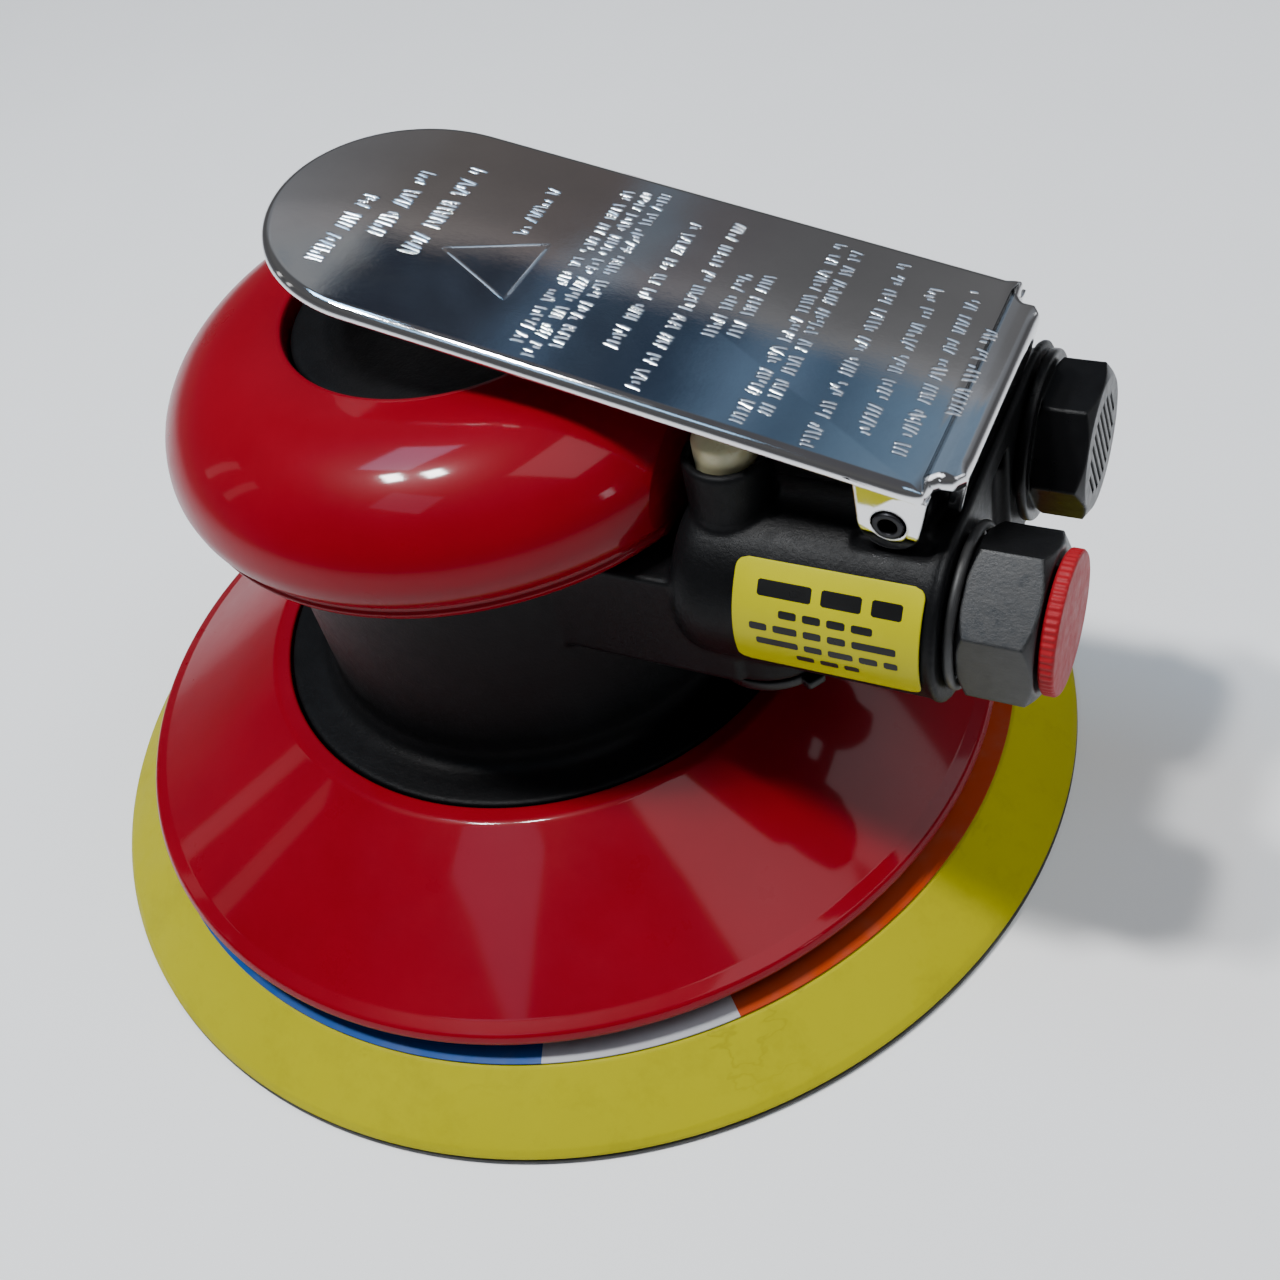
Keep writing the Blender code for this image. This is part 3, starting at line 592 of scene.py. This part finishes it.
def label():
    """Yellow film on the barrel, its printing replaced by plain bars."""
    r0 = BARREL_R + 0.36
    lo, hi, x0, x1 = -19.5, 52.0, 45.6, 66.7

    def wrap(x, s, lift):
        a = math.radians(lo + (hi - lo) * s)
        return (x, -PORT_Y - (r0 + lift) * math.cos(a), PORT_Z + (r0 + lift) * math.sin(a))

    def patch(xa, xb, sa, sb, lift, corner, cells):
        tall = math.radians(hi - lo) * r0
        verts, faces = [], []
        for i in range(cells + 1):
            s = sa + (sb - sa) * i / cells
            d = min(s - sa, sb - s) * tall
            trim = corner - math.sqrt(max(0.0, corner ** 2 - max(0.0, corner - d) ** 2)) if d < corner else 0
            verts += [wrap(xa + trim, s, lift), wrap(xb - trim, s, lift)]
        for i in range(cells):
            faces.append((2 * i, 2 * i + 1, 2 * i + 3, 2 * i + 2))
        return verts, faces

    verts, faces = patch(x0, x1, 0, 1, 0, 1.3, 48)
    sheet = make("barrel_label_film", verts, faces, LABEL)
    mod = sheet.modifiers.new("film", "SOLIDIFY")
    mod.thickness, mod.offset = FILM, -1
    bake(sheet)
    flip_out(sheet)
    bars = []
    # centre and half height as parts of the film's height, start and end along X, bar pitch
    rows = [(0.78, 0.066, 48.4, 64.6, 2.0), (0.585, 0.034, 51.0, 61.6, 1.25),
            (0.445, 0.034, 47.6, 64.9, 1.25), (0.305, 0.034, 48.3, 64.4, 1.25),
            (0.175, 0.03, 52.8, 60.0, 1.25)]
    for centre, tall, xa, xb, pitch in rows:
        x = xa
        while x < xb - 0.3:
            wide = min(RNG.choice((2.2, 3.0, 4.1, 5.2)) * pitch * 0.75, xb - x)
            bars.append(patch(x, x + wide, centre - tall, centre + tall, 0.015, 0.25, 10))
            x += wide + 0.55 * pitch
    verts, faces = [], []
    for v, f in bars:
        base = len(verts)
        verts += v
        faces += [tuple(i + base for i in face) for face in f]
    ink = make("label_bars", verts, faces, INK)
    join(sheet, ink)
    smooth(sheet, 40)
    finish_piece(sheet, "barrel_label", "tool_body")


# ------------------------------------------------------------------ lever

LEVER = Matrix.Translation(PIN_AT) @ Matrix.Rotation(TILT, 4, "Y")


def lever():
    top, low = UNDER + THICK, UNDER
    nose = arc(NOSE_X, 0, HALF, 90, 270, 72)
    run = [*np.linspace(-60, -4, 14), -2.5, -1.2, 0.0, 1.0]
    rear = [*np.linspace(-12, -9, 4), *np.linspace(-7, 7, 8), *np.linspace(9, 12, 4)]
    corner = rounded([(2.0, HALF, 0), (3.0, HALF, 0.9), (3.35, 16.2, 0.8), (3.9, 15.5, 0.8), (5.3, 15.1, 0.9),
                      (BACK_X, 13.8, 0.8), (BACK_X, 13.0, 0)], steps=6)
    outline = (nose + [(x, -HALF) for x in run] + [(x, -y) for x, y in corner] + [(BACK_X, y) for y in rear]
               + corner[::-1] + [(x, HALF) for x in run[::-1]])

    def fade(x, y):
        near = min(math.hypot(x - 3.0, abs(y) - HALF), math.hypot(x - 5.8, abs(y) - 14.5))
        return 0.35 + 0.65 * min(1.0, near / 2.0) ** 2

    plate = prism("chromed_lever", outline, low, top, CHROME, 1.3, 9, LEVER, 0.2, fade)
    across = LEVER @ Matrix.Rotation(math.pi / 2, 4, "X")
    ear = rounded([(-5.6, top - 0.95, 0), (-4.6, top - 1.2, 1.2), (-3.5, -0.3, 1.8)], steps=6) + arc(
        0, 0, 3.5, 190, 350, 24) + [(3.4, top - 1.1)]
    ears = [prism("ear", ear, s * (HALF - 0.01) - (THICK if s > 0 else 0),
                  s * (HALF - 0.01) + (0 if s > 0 else THICK), CHROME, 0.22, 3, across) for s in (-1, 1)]
    back = BACK_X - 0.01
    flange = prism("rear_flange", rounded([(-13.6, -0.6, 0.9), (13.6, -0.6, 0.9), (13.6, 4.3, 0),
                                           (-13.6, 4.3, 0)], True), back - THICK, back, CHROME, 0.22, 3,
                   LEVER @ ALONG_X)
    combine(plate, "UNION", *ears, flange)
    hole = lathe("hole", [(0, 25), (1.95, 25), (1.95, -25), (0, -25)], CHROME, "Y", PIN_AT, 40)
    combine(plate, "DIFFERENCE", hole)
    smooth(plate, 38)
    join(plate, stamping(top))
    finish_piece(plate, "throttle_lever", "lever")


def stamping(top):
    """Raised ticks in rows across the lever, with a plain triangle outline."""
    # place along the lever, start and end across it, tick length, fewest ticks in a word less one
    rows = [(-71.6, -12, 1.5, 2.3, 3), (-67.6, -5, 7.8, 2.4, 3), (-62.4, -6.4, 11.2, 2.4, 3),
            (-52.4, 2.0, 11.5, 1.8, 2), (-44.2, -14.8, 15.0, 1.6, 2), (-42.1, -16.4, 15.6, 1.6, 2),
            (-40.0, -13.8, 15.8, 1.6, 2), (-34.6, -11.2, 12.2, 1.7, 2), (-29.8, -16.2, 14.8, 1.7, 2),
            (-25.8, -5.2, 6.6, 1.7, 2), (-23.3, -4.1, 7.2, 1.7, 2), (-18.0, -16.4, 16.4, 1.7, 2),
            (-15.8, -14.0, 15.8, 1.7, 2), (-10.2, -16.6, 15.8, 1.8, 2), (-5.6, -12.4, 12.8, 1.8, 2),
            (-1.3, -13.8, 14.4, 1.8, 2), (2.0, -5.8, 9.2, 1.7, 2)]
    strokes = []
    for x, ya, yb, tall, word in rows:
        y = ya
        while y < yb:
            for _ in range(RNG.randint(word + 1, word + 5)):
                if y > yb:
                    break
                long = tall * RNG.choice((1.0, 1.0, 0.92, 0.55))
                strokes.append((x + RNG.choice((-0.2, 0, 0.2)) * (tall - long) * 2, y, long,
                                RNG.uniform(-0.22, 0.22)))
                y += RNG.uniform(0.55, 0.8)
            y += tall * 0.5
    corners = [(-59.2, -4.2), (-48.6, -9.4), (-48.3, 1.6)]
    for a, b in zip(corners, corners[1:] + corners[:1]):
        lean = math.atan2(b[1] - a[1], b[0] - a[0])
        strokes.append(((a[0] + b[0]) / 2, (a[1] + b[1]) / 2, math.dist(a, b), lean))
    bm = bmesh.new()
    for x, y, long, lean in strokes:
        spot = (LEVER @ Matrix.Translation((x, y, top + 0.005)) @ Matrix.Rotation(lean, 4, "Z")
                @ Matrix.Diagonal((long, TICK_WIDE, TICK_HIGH, 1)))
        made = bmesh.ops.create_cube(bm, size=1.0, matrix=spot)["verts"]
        high = sorted(made, key=lambda v: (LEVER.inverted() @ v.co).z)[4:]
        mid = sum((v.co for v in high), Vector()) / 4
        for v in high:
            v.co = mid + (v.co - mid) * TICK_TOP
    bmesh.ops.scale(bm, vec=(MM,) * 3, verts=bm.verts)
    mesh = bpy.data.meshes.new("ticks")
    bm.to_mesh(mesh)
    bm.free()
    return keep(bpy.data.objects.new("ticks", mesh), STAMP_PAINTED_SHEEN)


def pin_and_stem():
    roll = lathe("lever_roll_pin", rounded([(1.7, 18.85, 0.25), (1.7, -18.85, 0.25), (1.05, -18.85, 0.1),
                                            (1.05, 18.85, 0.1)], True), DARK_STEEL, "Y", PIN_AT,
                 48, True)
    finish_piece(roll, "lever_pin", "tool_body")
    stem = lathe("cream_valve_stem", rounded([(0, 79.3, 0), (2.0, 79.1, 1.2), (3.5, 77.4, 1.4),
                                              (3.5, 70.2, 0.3), (2.0, 69.7, 0), (2.0, 54.8, 0),
                                              (0, 54.8, 0)]), CREAM,
                 at=STEM_AT, steps=72)
    finish_piece(stem, "valve_stem", "stem")


# ------------------------------------------------------------------ ports

def hex_head(name, low, high, corner, turn, mat, at, chamfer):
    """Hexagonal head along X whose ends are turned to a cone, as on a bar-stock nut."""
    bar = prism(name, arc(0, 0, corner, turn, turn + 300, 5), low, high, mat, 0, 1,
                Matrix.Translation(at) @ ALONG_X)
    flat = corner * 0.866
    cone = lathe("cone", [(0, high + 0.01), (flat - chamfer[0] * 0.2, high + 0.01),
                          (corner + 0.2, high - chamfer[1]), (corner + 0.2, low + 0.9),
                          (flat + 0.1, low - 0.01), (0, low - 0.01)], mat, "X", at, 96)
    return combine(bar, "INTERSECT", cone)


def inlet():
    at = INLET
    head = hex_head("hex_inlet_bushing", 69.8, 77.9, 9.7, 35, ANODISED, at, (0.6, 1.1))
    combine(head, "UNION",
            lathe("shank", [(0, 70.2), (7.7, 70.2), (7.7, 57.2), (0, 57.2)], ANODISED, "X", at, 72))
    combine(head, "DIFFERENCE", lathe("mouth", [(0, 80), (6.2, 80), (6.2, 66.8), (3.8, 66.8), (3.8, 65.9),
                                                (5.8, 65.9), (5.8, 56), (0, 56)], ANODISED, "X", at, 72))
    smooth(head, 30)
    finish_piece(head, "inlet_bushing", "tool_body")

    def knurl(r, h, a):
        if r < 7.6 or h < 78.3 or h > 79.7:
            return r, h
        return r - 0.16 * (0.5 + 0.5 * math.cos(60 * a)), h

    plug = lathe("red_transport_plug", rounded([(0, 79.9, 0), (7.75, 79.9, 0.3), (8.0, 79.6, 0.1),
                                                (8.0, 78.5, 0.1), (7.6, 78.2, 0.1), (5.7, 78.2, 0),
                                                (5.7, 69.2, 0), (0, 69.2, 0)]),
                 RED_PLASTIC, "X", at, 480, warp=knurl)
    finish_piece(plug, "inlet_plug", "plug")
    seal = lathe("inlet_seal", [(8.85 + 0.6 * math.cos(a), 69.05 + 0.6 * math.sin(a))
                                for a in np.linspace(0, 2 * math.pi, 15)[:-1]], RUBBER, "X", at, 90, True)
    finish_piece(seal, "inlet_o_ring", "tool_body")


def muffler():
    at = EXHAUST
    head = hex_head("hex_exhaust_muffler", 69.6, 76.1, 9.4, 0, MOULDED, at, (1.2, 1.0))
    combine(head, "UNION",
            lathe("flange", rounded([(0, 69.8, 0), (10.3, 69.8, 0.4), (10.3, 68.6, 0.4), (0, 68.6, 0)]),
                  MOULDED, "X", at, 96),
            lathe("spigot", [(0, 69), (7.2, 69), (7.2, 60.5), (0, 60.5)], MOULDED, "X", at, 72))
    cells = []
    angle = math.radians(28)
    turned = Matrix.Translation(at) @ Matrix.Rotation(angle, 4, "X")
    for k in range(-4, 5):
        v = k * 1.32
        reach = math.sqrt(max(0.0, 33 - v * v))
        cells.append(block("slot", (6, 0.62, 2 * reach), (75.5, v, 0), place=turned))
    chamber = lathe("chamber", [(0, 74.3), (5.9, 74.3), (5.9, 60), (0, 60)], MOULDED, "X", at, 72)
    combine(head, "DIFFERENCE", chamber, *cells)
    smooth(head, 30)
    finish_piece(head, "muffler_body", "tool_body")


def regulator():
    at = TAP_AT
    knob = lathe("air_regulator", rounded([(0, 50.3, 0), (4.0, 50.3, 0.2), (4.0, 49.4, 0), (3.3, 49.4, 0),
                                           (3.3, 48.2, 0), (4.0, 48.2, 0), (4.0, 46.5, 0), (7.9, 46.5, 0.3),
                                           (7.9, 44.9, 0.5), (0, 44.9, 0)]), MOULDED, at=at, steps=72)
    tab = prism("tab", rounded([(5, 1.6, 0), (5, -1.6, 0), (9.2, -1.2, 0.5), (9.2, 1.2, 0.5)], True), 45.1,
                46.3, MOULDED, 0.2, 3, Matrix.Translation(at) @ Matrix.Rotation(math.radians(-35), 4, "Z"))
    combine(knob, "UNION", tab)
    smooth(knob, 30)
    finish_piece(knob, "speed_regulator", "regulator")


def inner_pieces():
    """Pieces carried over from the CAD frame, mostly inside."""
    groups = {STEEL: ("bearing", "shaft", "rotor", "liner", "dowel", "washer", "stud", "spring", "snap"),
              DARK_STEEL: ("spindle", "key", "lock_ring"), ALUMINIUM: ("end_plate",),
              PHENOLIC: ("vane",), BRASS: ("bushing", "screen", "tip_valve"),
              RUBBER: ("o_ring", "valve_seat"), NYLON: ("backing",), FELT: ("felt",)}
    for name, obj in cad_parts.items():
        chosen = STEEL
        for mat, words in groups.items():
            if any(word in name for word in words):
                chosen = mat
        if name == "spindle_snap_ring" or name.startswith("spindle_bearing"):
            chosen = STEEL
        obj.data.materials.clear()
        obj.data.materials.append(chosen)


# ------------------------------------------------------------------ stage

def stage():
    floor_look = Look("paper_floor", ((0.92, 0.92, 0.92), (0.95, 0.95, 0.95), 3), (0.6, 0.8, 20))
    corners = [(-1, -1), (1, -1), (1, 1), (-1, 1)]
    floor = make("floor", [(x * FLOOR_REACH, y * FLOOR_REACH, 0) for x, y in corners],
                 [(0, 1, 2, 3)], floor_look.mat)
    studio_walls()
    # name, direction, distance, width and height in metres, watts, colour
    lamps = [("window_pane_a", (-0.295, -0.19, 0.94), 0.8, 0.075, 0.05, 4.0, (1.0, 1.0, 1.0)),
             ("window_pane_b", (-0.155, -0.155, 0.975), 0.8, 0.07, 0.05, 4.0, (1.0, 1.0, 1.0)),
             ("sky_left", (-0.144, -0.474, 0.869), 1.5, 0.4, 0.3, 0.75, (0.36, 0.66, 1.0)),
             ("sky_top", (-0.342, 0.043, 0.939), 0.8, 0.22, 0.15, 1.1, (0.36, 0.66, 1.0)),
             ("left_pane_a", (-0.9, -0.17, 0.38), 0.9, 0.05, 0.3, 0.05, (1.0, 0.98, 0.96)),
             ("left_pane_b", (-0.86, -0.34, 0.42), 0.9, 0.05, 0.3, 0.04, (1.0, 0.98, 0.96)),
             ("right_pane_a", (0.43, -0.02, 0.88), 0.9, 0.42, 0.42, 1.6, (0.95, 0.97, 1.0)),
             ("right_pane_b", (0.56, 0.34, 0.74), 0.9, 0.42, 0.42, 1.3, (0.95, 0.97, 1.0)),
             ("low_window", (0.86, -0.3, 0.42), 0.8, 0.05, 0.09, 0.12, (0.85, 0.92, 1.0))]
    for name, way, far, wide, tall, power, tone in lamps:
        data = bpy.data.lights.new(name, "AREA")
        data.shape, data.size, data.size_y = "RECTANGLE", wide, tall
        data.energy, data.color = power, tone
        lamp = bpy.data.objects.new(name, data)
        way = Vector(way).normalized()
        lamp.location = way * far + Vector((0, 0, 0.04))
        lamp.rotation_euler = way.to_track_quat("Z", "Y").to_euler()
        bpy.context.scene.collection.objects.link(lamp)


def studio_walls():
    """Dim room; towards +Y a wall in bands with a dark garden window above it."""
    world = bpy.data.worlds.new("studio")
    bpy.context.scene.world = world
    world.use_nodes = True
    net = Nodes(world.node_tree)
    back = net.tree.nodes["Background"]

    def span(value, low, high, eased=True):
        made = net.add("ShaderNodeMapRange", interpolation_type="SMOOTHSTEP" if eased else "LINEAR")
        made.inputs["From Min"].default_value, made.inputs["From Max"].default_value = low, high
        net.link(value, made.inputs["Value"])
        return made.outputs["Result"]

    coord = net.add("ShaderNodeTexCoord").outputs["Generated"]
    wobble = net.add("ShaderNodeTexNoise", Scale=11.0, Detail=5.0, Roughness=0.62)
    net.link(coord, wobble.inputs["Vector"])
    shift = net.add("ShaderNodeVectorMath", operation="MULTIPLY_ADD")
    shift.inputs[1].default_value, shift.inputs[2].default_value = (0.04,) * 3, (-0.02,) * 3
    net.link(wobble.outputs["Color"], shift.inputs[0])
    moved = net.add("ShaderNodeVectorMath", operation="ADD")
    net.link(coord, moved.inputs[0])
    net.link(shift.outputs[0], moved.inputs[1])
    parts = net.add("ShaderNodeSeparateXYZ")
    net.link(moved.outputs[0], parts.inputs[0])
    x, y, z = parts.outputs
    room = net.ramp(z, [(0.0, (0.14, 0.14, 0.145)), (0.3, (0.08, 0.08, 0.085)),
                        (0.6, (0.11, 0.11, 0.11)), (1.0, (0.09, 0.09, 0.1))])
    across = span(x, -0.5, 0.1, False)
    wall = net.ramp(across, [(0.0, (0.26, 0.27, 0.29)), (0.28, (0.17, 0.155, 0.15)),
                             (0.44, (0.15, 0.13, 0.128)), (0.485, (0.19, 0.23, 0.28)),
                             (0.53, (0.16, 0.15, 0.16)), (0.63, (0.165, 0.165, 0.17)),
                             (0.74, (0.175, 0.175, 0.18)), (0.85, (0.2, 0.2, 0.205)),
                             (0.95, (0.25, 0.26, 0.28))])
    shade = net.ramp(span(z, 0.6, 0.7, False), [(0.0, (0.72,) * 3), (0.4, (0.86,) * 3),
                                                (0.46, (0.74,) * 3), (0.52, (0.95,) * 3),
                                                (0.72, (1.25,) * 3)])
    toned = net.add("ShaderNodeVectorMath", operation="MULTIPLY")
    net.link(wall, toned.inputs[0])
    net.link(shade, toned.inputs[1])
    glass = net.ramp(across, [(0.235, (0.28, 0.29, 0.3)), (0.26, (0.024, 0.028, 0.04)),
                              (0.42, (0.03, 0.036, 0.052)), (0.47, (0.08, 0.125, 0.2)),
                              (0.51, (0.032, 0.045, 0.07)), (0.62, (0.028, 0.046, 0.08)),
                              (0.69, (0.12, 0.19, 0.29)), (0.75, (0.06, 0.1, 0.16)),
                              (0.84, (0.14, 0.225, 0.33)), (0.93, (0.22, 0.3, 0.4))])
    twigs = net.add("ShaderNodeTexNoise", Scale=55.0, Detail=8.0, Roughness=0.8)
    net.link(coord, twigs.inputs["Vector"])
    garden = net.blend(span(twigs.outputs["Fac"], 0.5, 0.66), glass, (0.1, 0.14, 0.2))
    behind = span(y, 0.3, 0.5)
    scene_back = net.blend(span(z, 0.679, 0.688), toned.outputs[0], garden)
    band = net.math("MULTIPLY", behind, net.math("MULTIPLY", span(z, 0.4, 0.55), span(z, 0.86, 0.78)))
    net.link(net.blend(band, room, scene_back), back.inputs["Color"])
    back.inputs["Strength"].default_value = 1.0


def camera():
    data = bpy.data.cameras.new("photo_view")
    data.lens, data.sensor_width = FOCAL * SENSOR / PICTURE, SENSOR
    data.clip_start, data.clip_end = 0.01, 20
    data.shift_x, data.shift_y = SHIFT
    cam = bpy.data.objects.new("photo_view", data)
    az, el, roll = (math.radians(v) for v in ANGLES)
    back = Vector((math.sin(az) * math.cos(el), -math.cos(az) * math.cos(el), math.sin(el)))
    right = Vector((0, 0, 1)).cross(back).normalized()
    up = back.cross(right)
    x = right * math.cos(roll) + up * math.sin(roll)
    y = up * math.cos(roll) - right * math.sin(roll)
    spot = Vector(TARGET) * MM + back * RANGE * MM
    cam.matrix_world = Matrix((x, y, back)).transposed().to_4x4()
    cam.location = spot
    bpy.context.scene.collection.objects.link(cam)
    bpy.context.scene.camera = cam


inner_pieces()
pad()
body_shell()
skirt()
grip()
label()
lever()
pin_and_stem()
inlet()
muffler()
regulator()
stage()
camera()
